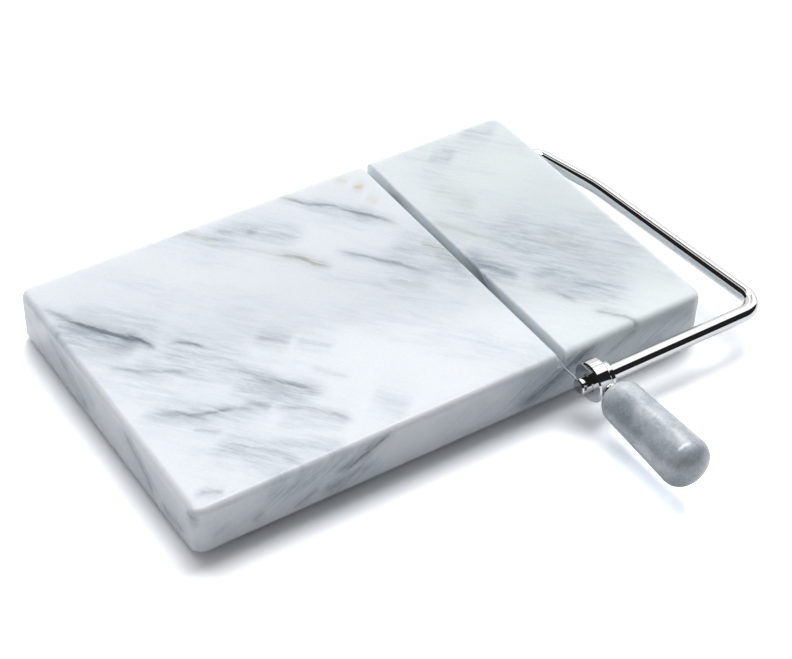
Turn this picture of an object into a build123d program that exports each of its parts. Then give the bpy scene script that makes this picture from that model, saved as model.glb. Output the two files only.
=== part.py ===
from build123d import *
from math import asin, cos, degrees, hypot, sin, sqrt
import os

# A marble cheese slicer. A bow of chromed rod turns in the right end of the board and
# pulls a tight wire down into a groove in the board. Millimetres.
# Origin: the middle of the board's footprint, on the table. X runs along the board from
# left to right, Y from front to back, Z up. The bow lies down, its wire in the groove.

# The board
board_length = 203.0
board_width = 126.0
board_thickness = 18.6
board_corner_radius = 4.5
top_edge_radius = 2.6
bottom_edge_bevel = 0.6

# The feet under the board
foot_height = 2.5
foot_radius = 5.5
foot_inset = 15.0

# The groove that the wire drops into
groove_offset = 39.8
groove_width = 3.2
groove_depth = 5.0
groove_edge_radius = 0.7
wire_floor_clearance = 0.1

# The wire and the two stops crimped on it
wire_diameter = 0.5
wire_bend_radius = 0.8
wire_hole_clearance = 0.1
stop_radius = 0.55
stop_length = 1.0
stop_bevel = 0.2
stop_seat_clearance = 0.05
stop_proud_share = 0.4
wire_end_recess = 0.2

# The bow: a rod with a pivot leg at the back, a crossbar and a front leg
rod_diameter = 5.8
rod_end_bevel = 0.4
rod_tip_reach = 0.9
pivot_inset = 21.0
leg_gap = 7.3
wire_lift_share = 0.5
back_bend_offset = 4.9
back_bend_radius = 4.6
middle_bend_offset = 11.6
middle_bend_reach = 28.4
middle_bend_radius = 60.0
front_bend_offset = 18.3
front_bend_radius = 8.0

# The bore through the board and its two bushes
bush_wall = 1.05
bush_length = 12.0
bush_bevel = 0.3
running_clearance = 0.05
turning_room = 1.7

# The hub that is clamped on the front leg
hub_left_offset = 4.0
barrel_length = 5.5
barrel_radius = 7.3
barrel_edge_bevel = 0.5
collar_length = 3.1
collar_radius = 4.9
collar_bevel = 0.4
hub_bore_chamfer = 0.5
hub_fit_clearance = 0.03

# The stud, ferrule and insert that hold the handle
stud_radius = 2.0
stud_point_radius = 1.5
stud_point_length = 0.8
stud_grip = 10.0
stud_fit_clearance = 0.1
clamp_flat_depth = 0.3
ferrule_radius = 2.9
ferrule_seat_wall = 1.2
ferrule_fit_clearance = 0.05
insert_radius = 2.7
insert_length = 12.0
insert_spare_depth = 2.0

# The handle
handle_gap = 0.7
handle_length = 44.8
handle_inner_radius = 7.55
handle_inner_rounding = 6.2
ferrule_recess = 0.3
handle_outer_radius = 9.2
handle_outer_rounding = 5.9
handle_cap_radius = 11.1

# One length by which every cut passes the face that it opens
overrun = 1.0


# Heights and places that follow from the sizes above
board_bottom = foot_height
board_top = board_bottom + board_thickness
board_right = board_length / 2
board_front = -board_width / 2
board_back = board_width / 2
groove_floor = board_top - groove_depth
groove_left = groove_offset - groove_width / 2
groove_right = groove_offset + groove_width / 2
wire_radius = wire_diameter / 2
wire_height = groove_floor + wire_floor_clearance + wire_radius
wire_hole_radius = wire_radius + wire_hole_clearance

rod_radius = rod_diameter / 2
rod_tip = groove_offset - rod_tip_reach
pivot_y = board_back - pivot_inset
pivot_height = wire_height - wire_radius - rod_radius
leg_y = board_front - leg_gap - rod_radius
wire_lift = rod_radius * wire_lift_share
leg_height = wire_height - wire_lift
bow_reach = hypot(pivot_y - leg_y, leg_height - pivot_height)
bow_tilt = asin((leg_height - pivot_height) / bow_reach)

bush_radius = rod_radius + running_clearance + bush_wall
stop_seat_radius = stop_radius + stop_seat_clearance
stop_seat_depth = stop_length * (1 - stop_proud_share)
well_radius = rod_radius + stop_length * stop_proud_share + turning_room

hub_left = rod_tip + hub_left_offset
hub_length = barrel_length + collar_length
hub_right = hub_left + hub_length
handle_x = hub_left + hub_length / 2
handle_start = barrel_radius + handle_gap
handle_end = handle_start + handle_length
ferrule_start = rod_radius + ferrule_seat_wall
stud_start = rod_radius - clamp_flat_depth
stud_end = handle_start + stud_grip
ferrule_end = handle_start + ferrule_recess
insert_hole_depth = insert_length + insert_spare_depth

# The bow's plane: X as before, Y from the pivot's axis towards the front leg
bow_plane = Plane(
    origin=(0, pivot_y, pivot_height),
    x_dir=(1, 0, 0),
    z_dir=(0, -sin(bow_tilt), -cos(bow_tilt)),
)

# The handle's plane: its Z runs from the front leg's axis out along the handle
handle_plane = Plane(
    origin=(handle_x, leg_y, leg_height),
    x_dir=(1, 0, 0),
    z_dir=(0, -1, 0),
)
handle_profile_plane = Plane(
    origin=handle_plane.origin,
    x_dir=(1, 0, 0),
    z_dir=(0, 0, -1),
)


# Marble board: a slab with soft edges, grooved across, with a well for the bow's tip
with BuildPart() as marble_board:
    with BuildSketch(Plane.XY.offset(board_bottom)):
        RectangleRounded(board_length, board_width, board_corner_radius)
    extrude(amount=board_thickness)
    fillet(marble_board.edges().group_by(Axis.Z)[-1], top_edge_radius)
    chamfer(marble_board.edges().group_by(Axis.Z)[0], bottom_edge_bevel)

    # The groove, open at the front, the back and the top
    with BuildSketch(Plane.XZ):
        with Locations((groove_offset, groove_floor)):
            Rectangle(
                groove_width,
                groove_depth + overrun,
                align=(Align.CENTER, Align.MIN),
            )
    extrude(amount=board_width / 2 + overrun, both=True, mode=Mode.SUBTRACT)

    # The well, round at the bottom, in which the tip, its wire and its stop turn
    with BuildSketch(Plane.YZ.offset(groove_left)):
        with Locations((pivot_y, pivot_height)):
            Circle(well_radius)
            Rectangle(
                2 * well_radius,
                groove_floor - pivot_height + overrun,
                align=(Align.CENTER, Align.MIN),
            )
    extrude(amount=groove_width, mode=Mode.SUBTRACT)

    # The bore for the pivot leg, from the right end into the well
    with BuildSketch(Plane.YZ.offset(groove_right)):
        with Locations((pivot_y, pivot_height)):
            Circle(bush_radius)
    extrude(amount=board_right - groove_right + overrun, mode=Mode.SUBTRACT)

    # The groove's two upper edges are eased
    groove_edges = (
        marble_board.edges()
        .filter_by(Axis.Y)
        .filter_by(lambda edge: abs(edge.center().X - groove_offset) < groove_width)
        .group_by(Axis.Z)[-1]
    )
    fillet(groove_edges, groove_edge_radius)

marble_board.part.label = "marble_board"


# Rubber feet, one near each corner
foot_x = board_length / 2 - foot_inset
foot_y = board_width / 2 - foot_inset
foot_places = {
    "foot_front_left": (-foot_x, -foot_y),
    "foot_front_right": (foot_x, -foot_y),
    "foot_back_left": (-foot_x, foot_y),
    "foot_back_right": (foot_x, foot_y),
}
feet = []
for foot_name, foot_place in foot_places.items():
    with BuildPart() as foot:
        with BuildSketch(Plane.XY):
            with Locations(foot_place):
                Circle(foot_radius)
        extrude(amount=foot_height)
    foot.part.label = foot_name
    feet.append(foot.part)


# Bushes that line both ends of the bore and carry the pivot leg
def make_bush(label, left):
    """A plain sleeve on the pivot's axis, from left to left + bush_length."""
    with BuildPart() as bush:
        with BuildSketch(Plane.YZ.offset(left)):
            with Locations((pivot_y, pivot_height)):
                Circle(bush_radius)
                Circle(rod_radius + running_clearance, mode=Mode.SUBTRACT)
        extrude(amount=bush_length)
        outer_face = bush.faces().sort_by(Axis.X)[-1]
        chamfer(outer_face.inner_wires()[0].edges(), bush_bevel)
    bush.part.label = label
    return bush.part


pivot_bush_inner = make_bush("pivot_bush_inner", groove_right)
pivot_bush_outer = make_bush("pivot_bush_outer", board_right - bush_length)


# Bow rod: one round rod bent into a C, from the tip in the well to the tip in front
with BuildPart() as bow_rod:
    with BuildLine(bow_plane) as bow_path:
        FilletPolyline(
            (rod_tip, 0),
            (board_right + back_bend_offset, 0),
            (board_right + middle_bend_offset, middle_bend_reach),
            (board_right + front_bend_offset, bow_reach),
            (rod_tip, bow_reach),
            radius=[back_bend_radius, middle_bend_radius, front_bend_radius],
        )
    with BuildSketch(Plane(origin=bow_path.line @ 0, z_dir=bow_path.line % 0)):
        Circle(rod_radius)
    sweep(path=bow_path.line)
    chamfer(bow_rod.edges().group_by(Axis.X)[0], rod_end_bevel)

    # The wire's hole in the pivot leg, upright, with a seat for the stop below
    with BuildSketch(Plane.XY.offset(pivot_height - rod_radius - overrun)):
        with Locations((groove_offset, pivot_y)):
            Circle(wire_hole_radius)
    extrude(amount=2 * (rod_radius + overrun), mode=Mode.SUBTRACT)
    with BuildSketch(Plane.XY.offset(pivot_height - rod_radius + stop_seat_depth)):
        with Locations((groove_offset, pivot_y)):
            Circle(stop_seat_radius)
    extrude(amount=-(stop_seat_depth + overrun), mode=Mode.SUBTRACT)

    # The wire's hole in the front tip, level, above the rod's axis, with the other seat
    front_seat_y = leg_y - sqrt(rod_radius**2 - wire_lift**2) + stop_seat_depth
    with BuildSketch(Plane.XZ.offset(-(leg_y + rod_radius + overrun))):
        with Locations((groove_offset, wire_height)):
            Circle(wire_hole_radius)
    extrude(amount=2 * (rod_radius + overrun), mode=Mode.SUBTRACT)
    with BuildSketch(Plane.XZ.offset(-front_seat_y)):
        with Locations((groove_offset, wire_height)):
            Circle(stop_seat_radius)
    extrude(amount=stop_seat_depth + overrun, mode=Mode.SUBTRACT)

    # The flat that the handle's stud clamps on, inside the hub
    with BuildSketch(handle_plane.offset(stud_start)):
        Circle(stud_radius + stud_fit_clearance)
    extrude(amount=clamp_flat_depth + overrun, mode=Mode.SUBTRACT)

bow_rod.part.label = "bow_rod"


# Cutting wire: up through the pivot leg, over, and level to the front tip
back_seat_z = pivot_height - rod_radius + stop_seat_depth
back_wire_end = back_seat_z - stop_length + wire_end_recess
front_wire_end = front_seat_y - stop_length + wire_end_recess
with BuildPart() as cutting_wire:
    with BuildLine(Plane.YZ.offset(groove_offset)) as wire_path:
        FilletPolyline(
            (pivot_y, back_wire_end),
            (pivot_y, wire_height),
            (front_wire_end, wire_height),
            radius=wire_bend_radius,
        )
    with BuildSketch(Plane(origin=wire_path.line @ 0, z_dir=wire_path.line % 0)):
        Circle(wire_radius)
    sweep(path=wire_path.line)
cutting_wire.part.label = "cutting_wire"


# Crimped stops that hold the wire's two ends
def make_stop(label, seat_plane):
    """A short tube on the wire, from seat_plane along its normal."""
    with BuildPart() as stop:
        with BuildSketch(seat_plane):
            Circle(stop_radius)
            Circle(wire_radius, mode=Mode.SUBTRACT)
        extrude(amount=stop_length)
        outer_face = stop.faces().filter_by(GeomType.PLANE).sort_by(
            lambda face: (face.center() - seat_plane.origin).dot(seat_plane.z_dir)
        )[-1]
        chamfer(outer_face.outer_wire().edges(), stop_bevel)
    stop.part.label = label
    return stop.part


wire_stop_back = make_stop(
    "wire_stop_back",
    Plane(origin=(groove_offset, pivot_y, back_seat_z), x_dir=(1, 0, 0), z_dir=(0, 0, -1)),
)
wire_stop_front = make_stop(
    "wire_stop_front",
    Plane(origin=(groove_offset, front_seat_y, wire_height), x_dir=(1, 0, 0), z_dir=(0, -1, 0)),
)


# Handle hub: a turned barrel and collar on the front leg, with a seat for the ferrule
with BuildPart() as handle_hub:
    with BuildSketch(Plane.XY.offset(leg_height)) as hub_profile:
        with BuildLine():
            Polyline(
                (hub_left, leg_y),
                (hub_left, leg_y + barrel_radius),
                (hub_left + barrel_length, leg_y + barrel_radius),
                (hub_left + barrel_length, leg_y + collar_radius),
                (hub_right, leg_y + collar_radius),
                (hub_right, leg_y),
                close=True,
            )
        make_face()
        chamfer(hub_profile.vertices().group_by(Axis.Y)[-1], barrel_edge_bevel)
        collar_corner = hub_profile.vertices().group_by(Axis.X)[-1].sort_by(Axis.Y)[-1]
        chamfer(collar_corner, collar_bevel)
    revolve(axis=Axis((0, leg_y, leg_height), (1, 0, 0)))

    # The bore for the front leg, with a chamfered mouth towards the tip
    with BuildSketch(Plane.YZ.offset(hub_left - overrun)):
        with Locations((leg_y, leg_height)):
            Circle(rod_radius + hub_fit_clearance)
    extrude(amount=hub_length + 2 * overrun, mode=Mode.SUBTRACT)
    bore_mouth = handle_hub.faces().sort_by(Axis.X)[0].inner_wires()[0]
    chamfer(bore_mouth.edges(), hub_bore_chamfer)

    # The tapped hole for the stud and the flat-bottomed seat for the ferrule
    with BuildSketch(handle_plane):
        Circle(stud_radius)
    extrude(amount=barrel_radius + overrun, mode=Mode.SUBTRACT)
    with BuildSketch(handle_plane.offset(ferrule_start)):
        Circle(ferrule_radius + ferrule_fit_clearance)
    extrude(amount=barrel_radius - ferrule_start + overrun, mode=Mode.SUBTRACT)

handle_hub.part.label = "handle_hub"


# Handle ferrule: a spacer sleeve between the hub's seat and the handle's end
with BuildPart() as handle_ferrule:
    with BuildSketch(handle_plane.offset(ferrule_start)):
        Circle(ferrule_radius)
        Circle(stud_radius + stud_fit_clearance, mode=Mode.SUBTRACT)
    extrude(amount=ferrule_end - ferrule_start)
handle_ferrule.part.label = "handle_ferrule"


# Handle stud: its point clamps the rod, its other end holds the handle's insert
with BuildPart() as handle_stud:
    with BuildSketch(handle_plane.offset(stud_start)):
        Circle(stud_point_radius)
    extrude(amount=stud_point_length)
    with BuildSketch(handle_plane.offset(stud_start + stud_point_length)):
        Circle(stud_radius)
    extrude(amount=stud_end - stud_start - stud_point_length)
handle_stud.part.label = "handle_stud"


# Handle insert: a tapped bush set in the stone, flush with the ferrule's recess
with BuildPart() as handle_insert:
    with BuildSketch(handle_plane.offset(ferrule_end)):
        Circle(insert_radius)
        Circle(stud_radius, mode=Mode.SUBTRACT)
    extrude(amount=insert_length)
handle_insert.part.label = "handle_insert"


# Marble handle: a tapered grip, rounded at the hub and domed at its free end
with BuildPart() as marble_handle:
    cap_depth = handle_cap_radius - sqrt(handle_cap_radius**2 - handle_outer_radius**2)
    with BuildSketch(handle_profile_plane) as handle_profile:
        with BuildLine():
            sides = Polyline(
                (0, handle_end),
                (0, handle_start),
                (handle_inner_radius, handle_start),
                (handle_outer_radius, handle_end - cap_depth),
            )
            RadiusArc(sides @ 1, sides @ 0, -handle_cap_radius)
        make_face()
        outer_corner = handle_profile.vertices().sort_by(Axis.X)[-1]
        fillet(outer_corner, handle_outer_rounding)
        inner_corner = handle_profile.vertices().group_by(Axis.Y)[0].sort_by(Axis.X)[-1]
        fillet(inner_corner, handle_inner_rounding)
    revolve(axis=Axis(handle_plane.origin, handle_plane.z_dir))
    with BuildSketch(handle_plane.offset(ferrule_end)):
        Circle(ferrule_radius + ferrule_fit_clearance)
    extrude(amount=-(ferrule_recess + overrun), mode=Mode.SUBTRACT)
    with BuildSketch(handle_plane.offset(ferrule_end)):
        Circle(insert_radius)
    extrude(amount=insert_hole_depth, mode=Mode.SUBTRACT)
marble_handle.part.label = "marble_handle"


# Write every sub-part to its own file
os.makedirs("parts", exist_ok=True)
sub_parts = [
    marble_board.part,
    *feet,
    pivot_bush_inner,
    pivot_bush_outer,
    bow_rod.part,
    cutting_wire.part,
    wire_stop_back,
    wire_stop_front,
    handle_hub.part,
    handle_ferrule.part,
    handle_stud.part,
    handle_insert.part,
    marble_handle.part,
]
for sub_part in sub_parts:
    export_step(sub_part, f"parts/{sub_part.label}.step")

print("bow tilt in degrees", round(degrees(bow_tilt), 3))
print("pivot", pivot_y, pivot_height, "front leg", leg_y, leg_height, "wire", wire_height)
print("handle from", leg_y - handle_start, "to", leg_y - handle_end, "at x", handle_x)
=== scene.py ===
from math import cos, radians, sin

import bpy
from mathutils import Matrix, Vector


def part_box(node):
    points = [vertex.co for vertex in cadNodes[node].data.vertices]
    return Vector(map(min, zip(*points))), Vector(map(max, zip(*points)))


# A marble cheese slicer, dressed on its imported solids. Metres; the board lies level on its
# feet, its front towards -Y and the bow at its right end. Places in the materials are in mm.

print("Loading the solids")
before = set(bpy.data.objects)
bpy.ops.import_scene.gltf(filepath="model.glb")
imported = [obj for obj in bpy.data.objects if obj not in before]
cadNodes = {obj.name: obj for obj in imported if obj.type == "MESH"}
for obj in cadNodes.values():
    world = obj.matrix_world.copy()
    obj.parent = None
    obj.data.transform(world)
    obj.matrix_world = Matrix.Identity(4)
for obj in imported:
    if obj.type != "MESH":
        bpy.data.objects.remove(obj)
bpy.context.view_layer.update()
boardLow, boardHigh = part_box("marble_board")


# Short ways to place shader nodes and join them

def addNode(tree, kind, **settings):
    node = tree.nodes.new(kind)
    for setting, value in settings.items():
        setattr(node, setting, value)
    return node


def feed(tree, socket, value):
    # joins the socket to another one, or gives it a plain value
    if isinstance(value, bpy.types.NodeSocket):
        tree.links.new(value, socket)
    else:
        socket.default_value = value


def sums(tree, operation, first, second=0.0, clamp=False):
    node = addNode(tree, "ShaderNodeMath", operation=operation, use_clamp=clamp)
    feed(tree, node.inputs[0], first)
    feed(tree, node.inputs[1], second)
    return node.outputs[0]


def product(tree, first, second):
    return sums(tree, "MULTIPLY", first, second)


def larger(tree, first, second):
    return sums(tree, "MAXIMUM", first, second)


def vectors(tree, operation, first, second=(0, 0, 0)):
    node = addNode(tree, "ShaderNodeVectorMath", operation=operation)
    feed(tree, node.inputs[0], first)
    if operation == "SCALE":
        feed(tree, node.inputs["Scale"], second)
    else:
        feed(tree, node.inputs[1], second)
    return node.outputs["Value" if operation == "LENGTH" else "Vector"]


def split(tree, place):
    node = addNode(tree, "ShaderNodeSeparateXYZ")
    feed(tree, node.inputs[0], place)
    return node.outputs


def joined(tree, first, second):
    # a flat place from two numbers
    node = addNode(tree, "ShaderNodeCombineXYZ")
    feed(tree, node.inputs[0], first)
    feed(tree, node.inputs[1], second)
    return node.outputs[0]


def stretch(tree, value, low, high, toLow=0.0, toHigh=1.0):
    # takes low..high to toLow..toHigh with soft ends
    node = addNode(tree, "ShaderNodeMapRange", interpolation_type="SMOOTHSTEP")
    feed(tree, node.inputs["Value"], value)
    feed(tree, node.inputs["From Min"], low)
    feed(tree, node.inputs["From Max"], high)
    feed(tree, node.inputs["To Min"], toLow)
    feed(tree, node.inputs["To Max"], toHigh)
    return node.outputs[0]


def noise(tree, place, scale, detail, roughness, output=0):
    # output 0 is a number around a half, output 1 a colour of three such numbers
    node = addNode(tree, "ShaderNodeTexNoise")
    feed(tree, node.inputs["Vector"], place)
    feed(tree, node.inputs["Scale"], scale)
    feed(tree, node.inputs["Detail"], detail)
    feed(tree, node.inputs["Roughness"], roughness)
    return node.outputs[output]


def shaken(tree, place, seat, kind, reach):
    # the place, moved about by a noise of that kind that is taken at the seat
    push = vectors(tree, "SUBTRACT", noise(tree, seat, *kind, output=1), (0.5, 0.5, 0.5))
    return vectors(tree, "ADD", place, vectors(tree, "MULTIPLY", push, reach))


def mixColours(tree, factor, first, second):
    node = addNode(tree, "ShaderNodeMix", data_type="RGBA", clamp_factor=True)
    feed(tree, node.inputs["Factor"], factor)
    for socket, colour in ((node.inputs[6], first), (node.inputs[7], second)):
        feed(tree, socket, colour if isinstance(colour, bpy.types.NodeSocket) else (*colour, 1))
    return node.outputs[2]


def mapped(tree, place, turn, scale=(1, 1, 1)):
    node = addNode(tree, "ShaderNodeMapping")
    feed(tree, node.inputs["Vector"], place)
    feed(tree, node.inputs["Rotation"], (0, 0, radians(turn)))
    feed(tree, node.inputs["Scale"], scale)
    return node.outputs[0]


def newMaterial(name, **values):
    # a material whose plain values are set on its shader, and the place on the piece in mm
    material = bpy.data.materials.new(name)
    material.use_nodes = True
    tree = material.node_tree
    tree.nodes.clear()
    shader = addNode(tree, "ShaderNodeBsdfPrincipled")
    output = addNode(tree, "ShaderNodeOutputMaterial")
    feed(tree, output.inputs[0], shader.outputs[0])
    for socket, value in values.items():
        shader.inputs[socket.replace("_", " ")].default_value = value
    place = addNode(tree, "ShaderNodeTexCoord").outputs["Object"]
    return material, tree, shader.inputs, vectors(tree, "SCALE", place, 1000.0)


def dress(names, material):
    for name in names:
        for slot in cadNodes[name].material_slots:
            slot.material = material


print("Camera")
camera = {
    "place": (-0.28735, -0.43733, 0.46469),
    "turn": (48.610, -1.691, -33.115),
    "lens": 89.70,
    "sensor": 36.0,
    "nearest": 0.01,
}
bpy.ops.object.camera_add(
    location=camera["place"],
    rotation=[radians(angle) for angle in camera["turn"]],
)
viewer = bpy.context.object
viewer.data.lens = camera["lens"]
viewer.data.sensor_width = camera["sensor"]
viewer.data.clip_start = camera["nearest"]
bpy.context.scene.camera = viewer


print("Floor")
paper = {
    "size": 6.0,
    "edge": -0.30,
    "colour": (0.90, 0.915, 0.94),
    "patch": (0.7, 0.7, 0.7),
    "patchShare": 0.05,
    "patchNoise": (0.02, 2.0, 0.5),
    "roughness": 0.9,
    "shine": 0.1,
    "mirrorGain": 1.2,
    "boardGain": 1.4,
    # the next gains paint the floor's colour brighter in front of the board and at its left:
    # painted light
    "frontPaintedLight": 4.2,
    "frontReach": 60.0,
    "leftPaintedLight": 1.45,
    "leftRamp": (-10.0, 6.0),
}
floorMiddle = paper["edge"] + paper["size"] / 2
bpy.ops.mesh.primitive_plane_add(size=paper["size"], location=(0, floorMiddle, 0))
floor = bpy.context.object
floor.name = "floor"


def makeFloor():
    # seen straight the lit floor comes up to white; its colour is also painted brighter further in
    # front of the board and at its left, a painted light that keeps the handle's shadow and the
    # board's left shadow faint; in metal and glass it comes up nearly as far
    material, tree, shader, place = newMaterial(
        "floorPaper",
        Roughness=paper["roughness"],
        Specular_IOR_Level=paper["shine"],
    )
    rays = addNode(tree, "ShaderNodeLightPath").outputs
    mirrored = larger(tree, rays["Is Glossy Ray"], rays["Is Transmission Ray"])
    gain = stretch(tree, mirrored, 0.0, 1.0, 1.0, paper["mirrorGain"])
    x, y, z = split(tree, place)
    front = (boardLow.y - floorMiddle) * 1000
    left = boardLow.x * 1000
    # painted light: the floor's colour is raised with distance in front of the board and to its
    # left, fading the shadows cast there
    reach = (front - paper["frontReach"], front)
    paintedLift = stretch(tree, y, *reach, paper["frontPaintedLight"], paper["boardGain"])
    ramp = [left + end for end in paper["leftRamp"]]
    paintedLift = product(tree, paintedLift, stretch(tree, x, *ramp, paper["leftPaintedLight"], 1.0))
    gain = larger(tree, gain, product(tree, rays["Is Camera Ray"], paintedLift))
    patches = product(tree, noise(tree, place, *paper["patchNoise"]), paper["patchShare"])
    colour = mixColours(tree, patches, paper["colour"], paper["patch"])
    feed(tree, shader["Base Color"], vectors(tree, "SCALE", colour, gain))
    return material


floor.data.materials.append(makeFloor())


print("Studio")
# The silk, key, tent, panel, shade, box and dropLow are given as slopes of a direction,
# across = x / z and along = y / z; the other ranges are its own x, y or z. A card has its
# middle, its half size, the radius of its corners and its soft edge.
studio = {
    "lowest": 0.02,
    "horizon": (0.02, 0.04),
    "silk": ((0.18, 0.53), (0.78, 0.40), 0.10, 0.06),
    "silkFade": (-0.60, 0.85),
    "silkLight": 8.9,
    "key": ((0.08, 0.28), (0.50, 0.17), 0.10, 0.06),
    "keyLight": 8.0,
    "tentBack": (1.66, 1.70),
    "tentFront": (-0.36, -0.33),
    "tentLeft": (-0.25, -0.21),
    "tentLight": 1.45,
    "panel": ((0.50, 0.77), (0.62, 0.27), 0.05, 0.04),
    "panelLight": 0.65,
    "shade": ((0.20, 0.66), (0.25, 0.20), 0.05, 0.04),
    "shadeLight": 0.18,
    "box": ((0.25, 0.985), (0.40, 0.125), 0.05, 0.01),
    "boxTurn": 20.0,
    "boxLight": 2.6,
    "dropBack": (0.15, 0.35),
    "dropRight": (-0.10, 0.05),
    "dropLow": (1.80, 1.84),
    "dropLight": 1.0,
    "cardShare": 0.12,
    "inFront": (-0.05, 0.10),
    "atLeft": (-0.10, 0.30),
    "dimLight": 0.36,
    "frontFill": 0.16,
    "darkLight": 0.02,
}


def makeStudio():
    # the room by direction, since the world alone lights the slicer
    world = bpy.data.worlds.new("studio")
    world.use_nodes = True
    tree = world.node_tree
    tree.nodes.clear()
    x, y, z = split(tree, addNode(tree, "ShaderNodeTexCoord").outputs["Generated"])
    height = larger(tree, z, studio["lowest"])
    across = sums(tree, "DIVIDE", x, height)
    along = sums(tree, "DIVIDE", y, height)
    flat = joined(tree, across, along)
    above = stretch(tree, z, *studio["horizon"])

    def card(place, middle, half, corner, soft):
        # 1 within a box with round corners in that flat plane of directions
        away = vectors(tree, "ABSOLUTE", vectors(tree, "SUBTRACT", place, (*middle, 0)))
        away = vectors(tree, "SUBTRACT", away, (half[0] - corner, half[1] - corner, 0))
        away = vectors(tree, "LENGTH", vectors(tree, "MAXIMUM", away, (0, 0, 0)))
        away = sums(tree, "SUBTRACT", away, corner)
        return product(tree, stretch(tree, away, -soft, soft, 1.0, 0.0), above)

    # the silk lights all that isn't polished, and fades to the left
    silk = card(flat, *studio["silk"])
    silk = product(tree, silk, stretch(tree, across, *studio["silkFade"]))

    # polished pieces show the key lamp, nearly overhead, and a bright box turned in the tent
    key = card(flat, *studio["key"])
    box = card(mapped(tree, flat, studio["boxTurn"]), *studio["box"])

    # the tent: from low at the back to well up in front, open at the left; a grey panel hangs
    # in it, and a darker one in front of that
    back = stretch(tree, along, *studio["tentBack"], 1.0, 0.0)
    front = stretch(tree, along, *studio["tentFront"])
    left = stretch(tree, across, *studio["tentLeft"])
    tent = product(tree, product(tree, back, front), product(tree, left, above))
    panel = card(flat, *studio["panel"])
    tentLight = stretch(tree, panel, 0.0, 1.0, studio["tentLight"], studio["panelLight"])
    shade = card(flat, *studio["shade"])
    tentLight = stretch(tree, shade, 0.0, 1.0, tentLight, studio["shadeLight"])

    # the backdrop behind at the right, below the tent
    drop = product(
        tree,
        stretch(tree, y, *studio["dropBack"]),
        stretch(tree, x, *studio["dropRight"]),
    )
    drop = product(tree, drop, stretch(tree, along, *studio["dropLow"]))

    # dark in front and dim elsewhere, where polished pieces also see dark at the left
    rays = addNode(tree, "ShaderNodeLightPath").outputs
    shiny = rays["Is Glossy Ray"]
    dark = stretch(tree, y, *studio["inFront"], 1.0, 0.0)
    frontLight = stretch(tree, shiny, 0.0, 1.0, studio["frontFill"], studio["darkLight"])
    dim = product(tree, shiny, stretch(tree, x, *studio["atLeft"], 1.0, 0.0))
    dim = stretch(tree, dim, 0.0, 1.0, studio["dimLight"], studio["darkLight"])
    light = stretch(tree, dark, 0.0, 1.0, dim, frontLight)

    # the cards are for polished pieces, and the rest gets a small share of them; beyond the
    # floor the camera sees white
    cards = product(tree, tent, tentLight)
    cards = larger(tree, cards, product(tree, drop, studio["dropLight"]))
    cards = larger(tree, cards, product(tree, box, studio["boxLight"]))
    cards = larger(tree, cards, product(tree, key, studio["keyLight"]))
    cards = product(tree, cards, larger(tree, shiny, studio["cardShare"]))
    silk = product(tree, silk, sums(tree, "SUBTRACT", 1.0, shiny))
    light = larger(tree, light, cards)
    light = larger(tree, light, product(tree, silk, studio["silkLight"]))
    light = larger(tree, light, rays["Is Camera Ray"])
    shine = addNode(tree, "ShaderNodeBackground")
    shine.inputs["Color"].default_value = (1, 1, 1, 1)
    feed(tree, shine.inputs["Strength"], light)
    output = addNode(tree, "ShaderNodeOutputWorld")
    feed(tree, output.inputs[0], shine.outputs[0])
    bpy.context.scene.world = world


makeStudio()
bpy.context.scene.view_settings.view_transform = "Standard"


print("White marble")
# A noise is given as its scale, detail and roughness, a grain as how much the noise is drawn
# out along and across the veins, and a range as what it takes from and, if given, to.
slab = {
    "top": boardHigh.z * 1000,
    "front": boardLow.y * 1000,
    "left": boardLow.x * 1000,
    "foot": boardLow.z * 1000,
    "dip": 1.8,
    "roughness": 0.05,
    "ior": 1.5,
    "milky": 0.8,
    "milkyRadius": (1.0, 0.9, 0.8),
    "milkyScale": 0.005,
    "white": (0.82, 0.86, 0.91),
    "green": (0.78, 0.845, 0.865),
    "greenSide": (30.0, 90.0),
    "greenSway": 40.0,
    "haze": (0.45, 0.51, 0.58),
    "grey": (0.18, 0.22, 0.27),
    "olive": (0.36, 0.39, 0.33),
    "rust": (0.62, 0.52, 0.34),
    "topTurn": -50.0,
    "frontTurn": 24.0,
    "leftTurn": -32.0,
    "warpGrain": (0.5, 1.0),
    "coarse": (0.09, 3.0, 0.55),
    "coarseReach": (3.5, 3.5, 0),
    "fine": (0.7, 5.0, 0.7),
    "fineReach": (1.7, 1.7, 0),
    "jitter": (0.35, 4.0, 0.65),
    "jitterReach": (2.6, 2.6, 2.6),
    "wisps": (0.45, 5.0, 0.65),
    "wispGrain": (0.16, 1.0),
    "threads": (1.1, 4.0, 0.6),
    "threadGrain": (0.10, 1.0),
    "cloud": (0.04, 3.0, 0.5),
    "cloudGrain": (0.4, 1.0),
    "crystals": (0.9, 3.0, 0.7),
    "underEdge": (0.4, 2.6),
    "nearFace": (1.2, 3.0),
    "veinWisps": (0.3, 0.62, 0.5, 1.25),
    "hazeWisps": (0.28, 0.72, 0.35, 1.75),
    "softCloud": (0.42, 0.72),
    "softWisps": (0.35, 0.75, 0.08, 0.5),
    "thinThreads": (0.58, 0.75),
    "thinShare": 0.10,
    "oliveThreads": (0.35, 0.6, 0.35, 1.1),
    "crystalRange": (0.35, 0.75),
    "crystalShare": 0.10,
}
# A stroke is a narrow core in a wide halo, both bell-shaped, given as sharpness and share.
# It tapers over that share of its length, and its strength is nothing beyond the ends.
stroke = {
    "core": (-1.0, 0.62),
    "halo": (-0.12, 0.38),
    "taper": 0.25,
    "beyond": (-0.2, 1.2),
}


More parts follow.
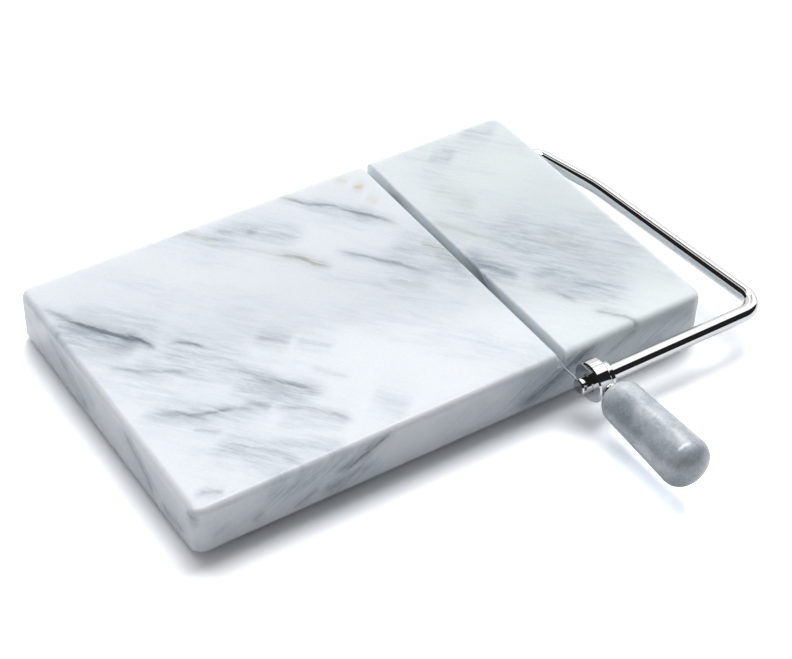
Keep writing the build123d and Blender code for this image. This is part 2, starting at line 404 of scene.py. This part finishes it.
def makeVeinGroup():
    # a soft stroke round a centre line: 1 on it, fading to 0 beyond the half width
    group = bpy.data.node_groups.new("veinStroke", "ShaderNodeTree")
    for name in ("Across", "Centre", "Strength", "Half Width"):
        group.interface.new_socket(name, in_out="INPUT", socket_type="NodeSocketFloat")
    group.interface.new_socket("Stroke", in_out="OUTPUT", socket_type="NodeSocketFloat")
    given = group.nodes.new("NodeGroupInput").outputs
    result = group.nodes.new("NodeGroupOutput")
    away = sums(group, "SUBTRACT", given["Across"], given["Centre"])
    away = sums(group, "DIVIDE", away, given["Half Width"])
    square = product(group, away, away)
    bells = []
    for sharpness, share in (stroke["core"], stroke["halo"]):
        bell = sums(group, "EXPONENT", product(group, square, sharpness))
        bells.append(product(group, bell, share))
    fade = product(group, sums(group, "ADD", *bells), given["Strength"])
    feed(group, result.inputs[0], fade)
    return group


def curveThrough(tree, value, points):
    # a smooth curve through (from, to) points, level beyond both ends
    node = addNode(tree, "ShaderNodeFloatCurve")
    curve = node.mapping.curves[0]
    for spot, point in zip(curve.points, (points[0], points[-1])):
        spot.location = point
    for point in points[1:-1]:
        curve.points.new(*point)
    for spot in curve.points:
        spot.handle_type = "AUTO_CLAMPED"
    node.mapping.use_clip = False
    node.mapping.extend = "HORIZONTAL"
    node.mapping.update()
    feed(tree, node.inputs["Value"], value)
    return node.outputs[0]


class Sketch:
    # a face's own two directions, turned so that its veins run along the first one
    reach = 260.0

    def __init__(self, tree, first, second, turn):
        self.tree = tree
        self.turn = (cos(radians(turn)), sin(radians(turn)))
        self.along, self.across = self.turned(first, second)

    def turned(self, first, second):
        # both numbers come out as a share of the reach, with the face's middle at a half
        tree = self.tree
        level, upright = self.turn
        along = sums(tree, "ADD", product(tree, first, level), product(tree, second, upright))
        across = sums(
            tree,
            "SUBTRACT",
            product(tree, second, level),
            product(tree, first, upright),
        )
        shares = [sums(tree, "DIVIDE", value, self.reach) for value in (along, across)]
        return [sums(tree, "ADD", share, 0.5) for share in shares]

    def turnedPoint(self, point):
        level, upright = self.turn
        along = point[0] * level + point[1] * upright
        across = point[1] * level - point[0] * upright
        return (along / self.reach + 0.5, across / self.reach + 0.5)

    def grain(self, alongScale, acrossScale):
        # a place that is drawn out along the veins, for noise that runs with them
        along = product(self.tree, self.along, self.reach * alongScale)
        return joined(self.tree, along, product(self.tree, self.across, self.reach * acrossScale))

    def vein(self, points, width, depth):
        tree = self.tree
        line = sorted(self.turnedPoint(point) for point in points)
        first, last = line[0][0], line[-1][0]
        taper = stroke["taper"] * (last - first)
        early, late = depth if isinstance(depth, tuple) else (depth, depth)
        low, high = stroke["beyond"]
        ends = [(first, 0.0), (first + taper, early), (last - taper, late), (last, 0.0)]
        given = {
            "Across": self.across,
            "Centre": curveThrough(tree, self.along, line),
            "Strength": curveThrough(tree, self.along, [(low, 0.0), *ends, (high, 0.0)]),
            "Half Width": width / self.reach,
        }
        node = addNode(tree, "ShaderNodeGroup", node_tree=veinGroup)
        for socket, value in given.items():
            feed(tree, node.inputs[socket], value)
        return node.outputs[0]

    def veins(self, strokes):
        total = None
        for points, width, depth in strokes:
            vein = self.vein(points, width, depth)
            total = vein if total is None else larger(self.tree, total, vein)
        return total


veinGroup = makeVeinGroup()

# Veins as points on the face in mm, the vein's half width, and how strong it is, as a pair
# where its two ends differ
topVeins = [
    ([(-105, 58), (-100, 51), (-96, 42), (-93, 36), (-88, 30), (-83, 24), (-80, 19), (-74, 12)],
     1.1, (0.35, 1.0)),
    ([(-84, 27), (-80, 22), (-77, 16), (-75, 10)], 0.9, (0.3, 1.0)),
    ([(-75, 13), (-66, 9), (-63, 6), (-60, 2)], 0.7, (0.2, 0.6)),
    ([(-95, 12), (-90, 8), (-83, 2), (-75, -3), (-65, -12)], 0.9, (0.55, 0.3)),
    ([(-68, -10), (-59, -12), (-52, -21), (-45, -28), (-39, -36), (-36, -40)], 1.2, (0.35, 0.75)),
    ([(-99, -13), (-88, -18), (-78, -25), (-71, -27), (-63, -30)], 1.1, (0.25, 0.75)),
    ([(-67, -28), (-61, -30), (-55, -35)], 1.7, 0.55),
    ([(-60, -31), (-52, -37), (-46, -41), (-41, -47), (-37, -54)], 0.8, (0.4, 0.55)),
    ([(-84, -29), (-75, -36)], 0.6, 0.3),
    ([(-97, -54), (-88, -59)], 1.1, 0.45),
    ([(-3, 67), (2, 61), (8, 54), (16, 47), (21, 40), (26, 33), (30, 26), (32, 21)],
     0.9, (0.55, 0.65)),
    ([(2, 26), (7, 19), (13, 13), (18, 7), (23, -1), (31, -10)], 1.0, (0.5, 0.3)),
    ([(-45, 0), (-40, -5), (-34, -11)], 1.9, 0.42),
    ([(-18, 50), (-14, 47)], 1.2, 0.35),
    ([(-37, -23), (-27, -36)], 0.9, 0.2),
    ([(42, -3), (46, -13), (51, -22)], 1.6, 0.4),
    ([(51, -26), (58, -35), (61, -45)], 0.8, 0.35),
    ([(62, -48), (70, -58), (73, -65)], 0.8, 0.45),
]
topHaze = [
    ([(-104, 42), (-96, 32), (-84, 18), (-78, 12)], 5.5, 0.6),
    ([(-96, 46), (-78, 30), (-66, 15)], 4.0, 0.35),
    ([(-92, 9), (-76, 2), (-60, -4), (-46, -12)], 7.0, 0.3),
    ([(-66, -16), (-54, -26), (-46, -34), (-38, -40)], 4.5, 0.5),
    ([(-80, -6), (-60, -14), (-44, -22)], 5.0, 0.25),
    ([(-98, -13), (-85, -21), (-70, -30), (-58, -38)], 4.5, 0.4),
    ([(-84, -38), (-69, -50), (-60, -64)], 4.0, 0.5),
    ([(-74, -45), (-58, -53), (-44, -63)], 3.0, 0.45),
    ([(-60, -38), (-48, -46), (-38, -56)], 4.0, 0.3),
    ([(-33, 57), (-15, 48), (-6, 40), (-1, 34)], 4.5, 0.5),
    ([(6, 56), (18, 42), (26, 30)], 3.5, 0.35),
    ([(18, 18), (32, 0), (40, -20)], 8.0, 0.35),
    ([(40, 2), (46, -12), (53, -24)], 5.0, 0.5),
    ([(53, -16), (65, -30), (74, -43), (82, -52)], 5.5, 0.5),
    ([(30, -2), (42, -12), (52, -18)], 6.0, 0.25),
    ([(-26, -44), (-19, -60)], 3.5, 0.33),
    ([(-34, -10), (-23, -20)], 3.0, 0.25),
    ([(78, -10), (90, -36)], 6.0, 0.25),
    ([(50, 8), (64, -10), (78, -30), (92, -46)], 13.0, 0.36),
    ([(62, 54), (72, 48)], 4.0, 0.35),
    ([(80, 61), (96, 53)], 4.0, 0.4),
]
topOlive = [
    ([(-42, 64), (-36, 58), (-29, 49)], 0.9, 0.5),
    ([(-18, 38), (-14, 32), (-9, 27), (-6, 22), (-1, 16)], 1.1, (0.55, 0.9)),
    ([(-30, 49), (-20, 38), (-13, 31)], 0.6, 0.3),
    ([(10, 3), (15, -3), (22, -12)], 1.2, 0.25),
    ([(31, 13), (36, 5), (39, 0)], 1.1, 0.6),
    ([(32, 5), (36, 0), (39, -7)], 1.5, 0.4),
    ([(41, 22), (50, 8), (58, -2)], 1.3, 0.3),
    ([(52, 38), (58, 27), (63, 17)], 3.0, 0.25),
    ([(71, -6), (77, -16), (83, -26)], 2.2, 0.3),
]
topRust = [
    ([(29, 53), (32, 50)], 1.3, 0.7),
    ([(25, 61), (29, 56)], 1.5, 0.3),
    ([(29, 44), (31, 39)], 1.5, 0.25),
]
# On the front a place is (x, height), on the left (distance forward, height)
frontVeins = [
    ([(-26, 19), (-35, 15.5), (-42, 12), (-52, 9)], 1.1, 0.75),
    ([(-36, 8.5), (-45, 6), (-57, 3.5)], 1.0, 0.45),
    ([(-55, 7), (-67, 2)], 0.9, 0.45),
    ([(-76, 7.5), (-82, 4.5)], 0.9, 0.4),
    ([(57, 18.5), (47, 14), (38, 9.5), (30, 5.5), (20, 1)], 1.8, 0.7),
    ([(74, 17), (66, 13), (57, 8.5)], 1.0, 0.35),
    ([(44, 12), (34, 6)], 1.2, 0.35),
    ([(-88, 9), (-96, 5)], 1.0, 0.2),
]
frontHaze = [
    ([(-30, 19), (-52, 14), (-80, 10)], 4.0, 0.45),
    ([(-30, 8), (-60, 2)], 3.5, 0.4),
    ([(60, 19), (36, 8), (16, 0)], 4.5, 0.5),
    ([(100, 14), (84, 9), (70, 3)], 5.0, 0.45),
    ([(12, 14), (-14, 6)], 4.0, 0.15),
]
leftVeins = [
    ([(15, 18), (22, 12.5), (27, 10.5), (31, 8), (37, 1)], 1.0, 0.6),
    ([(-51, 18.5), (-44, 17)], 1.2, 0.5),
    ([(-31, 11.5), (-25, 9.5)], 1.4, 0.35),
    ([(-16, 4.5), (-11, 2.5)], 1.2, 0.4),
    ([(40, 5.5), (47, 4), (57, 5)], 1.0, 0.25),
    ([(58, 18), (63, 13)], 1.8, 0.45),
]
leftHaze = [
    ([(-44, 17), (-33, 12), (-20, 7), (-8, 2)], 3.2, 0.5),
    ([(-20, 14), (-4, 8)], 3.0, 0.35),
    ([(10, 18), (26, 11), (40, 3)], 3.5, 0.4),
    ([(38, 3), (58, 6)], 3.0, 0.3),
]


def makeMarble():
    material, tree, shader, place = newMaterial(
        "marbleWhite",
        Roughness=slab["roughness"],
        IOR=slab["ior"],
        Subsurface_Weight=slab["milky"],
        Subsurface_Radius=slab["milkyRadius"],
        Subsurface_Scale=slab["milkyScale"],
    )
    x, y, z = split(tree, place)
    below = sums(tree, "SUBTRACT", slab["top"], z)

    # the veins are sheets that lean, so further down they lie nearer to the front
    leaning = sums(tree, "ADD", y, product(tree, below, slab["dip"]))
    seat = Sketch(tree, x, leaning, slab["topTurn"]).grain(*slab["warpGrain"])
    moved = shaken(tree, joined(tree, x, leaning), seat, slab["coarse"], slab["coarseReach"])
    moved = split(tree, shaken(tree, moved, seat, slab["fine"], slab["fineReach"]))
    top = Sketch(tree, moved[0], moved[1], slab["topTurn"])

    # wisps and thin threads run along the veins, in patches
    wisps = noise(tree, top.grain(*slab["wispGrain"]), *slab["wisps"])
    threads = noise(tree, top.grain(*slab["threadGrain"]), *slab["threads"])
    cloud = noise(tree, top.grain(*slab["cloudGrain"]), *slab["cloud"])

    # the front and left faces have strokes of their own, which fade in under the edge
    jittered = split(tree, shaken(tree, place, place, slab["jitter"], slab["jitterReach"]))
    height = sums(tree, "SUBTRACT", jittered[2], slab["foot"])
    forward = product(tree, jittered[1], -1.0)
    front = Sketch(tree, jittered[0], height, slab["frontTurn"])
    left = Sketch(tree, forward, height, slab["leftTurn"])
    under = stretch(tree, below, *slab["underEdge"])
    near = slab["nearFace"]
    frontRange = [slab["front"] + depth for depth in near]
    leftRange = [slab["left"] + depth for depth in near]
    onFront = product(tree, under, stretch(tree, y, *frontRange, 1.0, 0.0))
    onLeft = product(tree, under, stretch(tree, x, *leftRange, 1.0, 0.0))
    onTop = sums(tree, "SUBTRACT", 1.0, larger(tree, onFront, onLeft))

    def overFaces(topStrokes, frontStrokes, leftStrokes):
        total = product(tree, top.veins(topStrokes), onTop)
        total = larger(tree, total, product(tree, front.veins(frontStrokes), onFront))
        return larger(tree, total, product(tree, left.veins(leftStrokes), onLeft))

    veins = overFaces(topVeins, frontVeins, leftVeins)
    veins = product(tree, veins, stretch(tree, wisps, *slab["veinWisps"]))
    haze = overFaces(topHaze, frontHaze, leftHaze)
    haze = product(tree, haze, stretch(tree, wisps, *slab["hazeWisps"]))
    soft = product(
        tree,
        stretch(tree, cloud, *slab["softCloud"]),
        stretch(tree, wisps, *slab["softWisps"]),
    )
    thin = product(tree, stretch(tree, threads, *slab["thinThreads"]), slab["thinShare"])
    crystals = stretch(tree, noise(tree, place, *slab["crystals"]), *slab["crystalRange"])
    pale = sums(tree, "ADD", sums(tree, "ADD", haze, soft), thin, clamp=True)
    pale = sums(tree, "ADD", pale, product(tree, crystals, slab["crystalShare"]), clamp=True)

    # the stone turns greenish to the right
    side = sums(tree, "ADD", x, product(tree, cloud, slab["greenSway"]))
    stone = mixColours(tree, stretch(tree, side, *slab["greenSide"]), slab["white"], slab["green"])
    colour = mixColours(tree, pale, stone, slab["haze"])
    olive = product(tree, top.veins(topOlive), stretch(tree, threads, *slab["oliveThreads"]))
    colour = mixColours(tree, product(tree, olive, onTop), colour, slab["olive"])
    rust = product(tree, top.veins(topRust), onTop)
    colour = mixColours(tree, rust, colour, slab["rust"])
    colour = mixColours(tree, veins, colour, slab["grey"])
    feed(tree, shader["Base Color"], colour)
    return material


dress(["marble_board"], makeMarble())


print("Grey marble")
grip = {
    "ior": 1.6,
    "coat": 0.8,
    "coatRoughness": 0.3,
    "roughness": (0.3, 0.8, 0.16, 0.26),
    "dark": (0.32, 0.37, 0.42),
    "light": (0.56, 0.61, 0.66),
    "speck": (0.72, 0.77, 0.82),
    "jitter": (0.2, 3.0, 0.6),
    "jitterReach": (4, 4, 4),
    "cloud": (0.09, 5.0, 0.6),
    "cloudRange": (0.36, 0.62),
    "streaks": (0.35, 4.0, 0.6),
    "streakTurn": 35,
    "streakScale": (1.0, 0.25, 1.0),
    "streakRange": (0.55, 0.72),
    "streakShare": 0.4,
    "specks": (1.1, 4.0, 0.7),
    "speckRange": (0.45, 0.75),
    "speckShare": 0.45,
}


def makeGreyMarble():
    material, tree, shader, place = newMaterial(
        "marbleGrey",
        IOR=grip["ior"],
        Coat_Weight=grip["coat"],
        Coat_Roughness=grip["coatRoughness"],
    )
    moved = shaken(tree, place, place, grip["jitter"], grip["jitterReach"])
    cloud = stretch(tree, noise(tree, moved, *grip["cloud"]), *grip["cloudRange"])
    drawn = mapped(tree, moved, grip["streakTurn"], grip["streakScale"])
    streaks = stretch(tree, noise(tree, drawn, *grip["streaks"]), *grip["streakRange"])
    specks = noise(tree, place, *grip["specks"])
    bright = stretch(tree, specks, *grip["speckRange"])
    colour = mixColours(tree, cloud, grip["dark"], grip["light"])
    colour = mixColours(tree, product(tree, streaks, grip["streakShare"]), colour, grip["dark"])
    colour = mixColours(tree, product(tree, bright, grip["speckShare"]), colour, grip["speck"])
    feed(tree, shader["Base Color"], colour)
    feed(tree, shader["Roughness"], stretch(tree, specks, *grip["roughness"]))
    return material


dress(["marble_handle"], makeGreyMarble())


print("Metal, nylon and rubber")
# Each has its colour and roughness; a smear takes both to the given shares of themselves
metal = {
    "chrome": ((0.74, 0.74, 0.75), 0.03),
    "steel": ((0.45, 0.45, 0.46), 0.25),
    "brass": ((0.72, 0.56, 0.28), 0.2),
    "smear": (0.4, 4.0, 0.6),
    "smearRange": (0.3, 0.7),
    "wornColour": 0.93,
    "wornRoughness": 1.5,
}
plastic = {
    "nylon": ((0.80, 0.79, 0.74), 0.4),
    "rubber": ((0.55, 0.56, 0.57), 0.5),
    "smear": (3.0, 4.0, 0.6),
    "smearRange": (0.3, 0.7),
    "wornColour": 0.85,
    "wornRoughness": 1.2,
    "bump": 0.15,
    "bumpDepth": 0.00005,
}


def makeWorn(name, kind, **values):
    colour, roughness = kind[name]
    material, tree, shader, place = newMaterial(name, **values)
    smear = noise(tree, place, *kind["smear"])
    worn = [value * kind["wornColour"] for value in colour]
    roughest = roughness * kind["wornRoughness"]
    feed(tree, shader["Base Color"], mixColours(tree, smear, colour, worn))
    feed(tree, shader["Roughness"], stretch(tree, smear, *kind["smearRange"], roughness, roughest))
    if "bump" in kind:
        node = addNode(tree, "ShaderNodeBump")
        feed(tree, node.inputs["Height"], smear)
        feed(tree, node.inputs["Strength"], kind["bump"])
        feed(tree, node.inputs["Distance"], kind["bumpDepth"])
        feed(tree, shader["Normal"], node.outputs[0])
    return material


steelPieces = ["cutting_wire", "wire_stop_back", "wire_stop_front", "handle_stud"]
feet = ["foot_front_left", "foot_front_right", "foot_back_left", "foot_back_right"]
dress(["bow_rod", "handle_hub", "handle_ferrule"], makeWorn("chrome", metal, Metallic=1.0))
dress(steelPieces, makeWorn("steel", metal, Metallic=1.0))
dress(["handle_insert"], makeWorn("brass", metal, Metallic=1.0))
dress(["pivot_bush_inner", "pivot_bush_outer"], makeWorn("nylon", plastic))
dress(feet, makeWorn("rubber", plastic))
